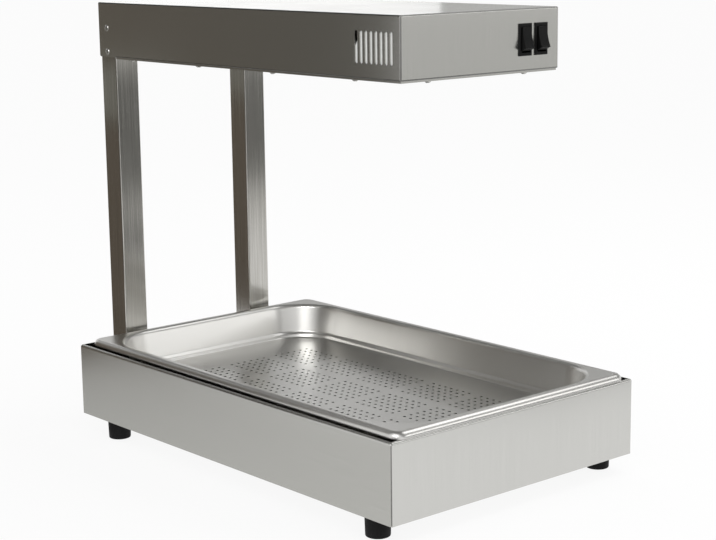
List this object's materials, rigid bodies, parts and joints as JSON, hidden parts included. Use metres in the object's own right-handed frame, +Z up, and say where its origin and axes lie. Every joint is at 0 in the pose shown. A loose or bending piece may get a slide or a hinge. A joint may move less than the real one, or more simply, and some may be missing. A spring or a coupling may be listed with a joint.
{
  "type": "heat lamp gantry",
  "caption": "Countertop heat lamp gantry: steel base with a perforated gastronorm pan under a lamp hood on square rear posts, with rocker switches on the hood's front.",
  "frame": {"origin": "on the table, under the middle of the whole outline", "axes": "+X to the right seen from the front, +Y from the front to the posts, +Z up"},
  "size_m": [0.342, 0.572, 0.492],
  "materials": {
    "stainless_sheet": "brushed",
    "stainless_tube": "brushed",
    "pan_steel": "bright polished",
    "foot_rubber": "matte",
    "zinc_fastener": "zinc plated",
    "stainless_fastener": "polished",
    "guard_wire": "drawn wire",
    "bright_aluminium": "mirror bright",
    "quartz": "clear",
    "heating_wire": "oxidised",
    "white_ceramic": "matte",
    "switch_plastic": "semi-gloss",
    "black_plastic": "matte",
    "brass_blade": "plain",
    "lead_sleeve": "matte"
  },
  "bodies": {
    "frame": {"base_shell": "stainless_sheet", "base_bottom_plate": "stainless_sheet", "hood_cover": "stainless_sheet", "hood_floor_frame": "stainless_sheet", "post_left": "stainless_tube", "post_right": "stainless_tube", "foot_front_left": "foot_rubber", "foot_front_right": "foot_rubber", "foot_rear_left": "foot_rubber", "foot_rear_right": "foot_rubber", "foot_screws": "zinc_fastener", "foot_nuts": "zinc_fastener", "post_bolts": "zinc_fastener", "post_nuts": "zinc_fastener", "hood_dome_screws": "stainless_fastener", "hood_side_screws": "stainless_fastener", "rocker_pin_left": "stainless_fastener", "rocker_pin_right": "stainless_fastener", "lamp_guard": "guard_wire", "reflector": "bright_aluminium", "front_bulkhead": "bright_aluminium", "rear_end_plate": "bright_aluminium", "lamp_tube_left": "quartz", "lamp_tube_right": "quartz", "lamp_coil_left": "heating_wire", "lamp_coil_right": "heating_wire", "lamp_cap_front_left": "white_ceramic", "lamp_cap_front_right": "white_ceramic", "lamp_cap_rear_left": "white_ceramic", "lamp_cap_rear_right": "white_ceramic", "terminal_block": "white_ceramic", "vent_board_left": "white_ceramic", "vent_board_right": "white_ceramic", "switch_housing_left": "switch_plastic", "switch_housing_right": "switch_plastic", "post_plug_left": "black_plastic", "post_plug_right": "black_plastic", "gland_body": "black_plastic", "gland_cap": "black_plastic", "gland_locknut": "black_plastic", "switch_blades": "brass_blade", "lamp_lead_left": "lead_sleeve", "lamp_lead_right": "lead_sleeve", "supply_lead_left": "lead_sleeve", "supply_lead_right": "lead_sleeve", "return_lead_left": "lead_sleeve", "return_lead_right": "lead_sleeve"},
    "pan": {"gn_pan": "pan_steel"},
    "rocker_left": {"rocker_left": "switch_plastic"},
    "rocker_right": {"rocker_right": "switch_plastic"}
  },
  "joints": [
    {"name": "pan_lift", "type": "slide", "parent": "frame", "child": "pan", "axis": [0, 0, 1], "range_m": [0, 0.1]},
    {"name": "rocker_left_tilt", "type": "hinge", "parent": "frame", "child": "rocker_left", "pos_m": [0.0592, -0.23, 0.461], "axis": [1, 0, 0], "range_deg": [0, 26]},
    {"name": "rocker_right_tilt", "type": "hinge", "parent": "frame", "child": "rocker_right", "pos_m": [0.082, -0.23, 0.461], "axis": [1, 0, 0], "range_deg": [0, 26]}
  ]
}
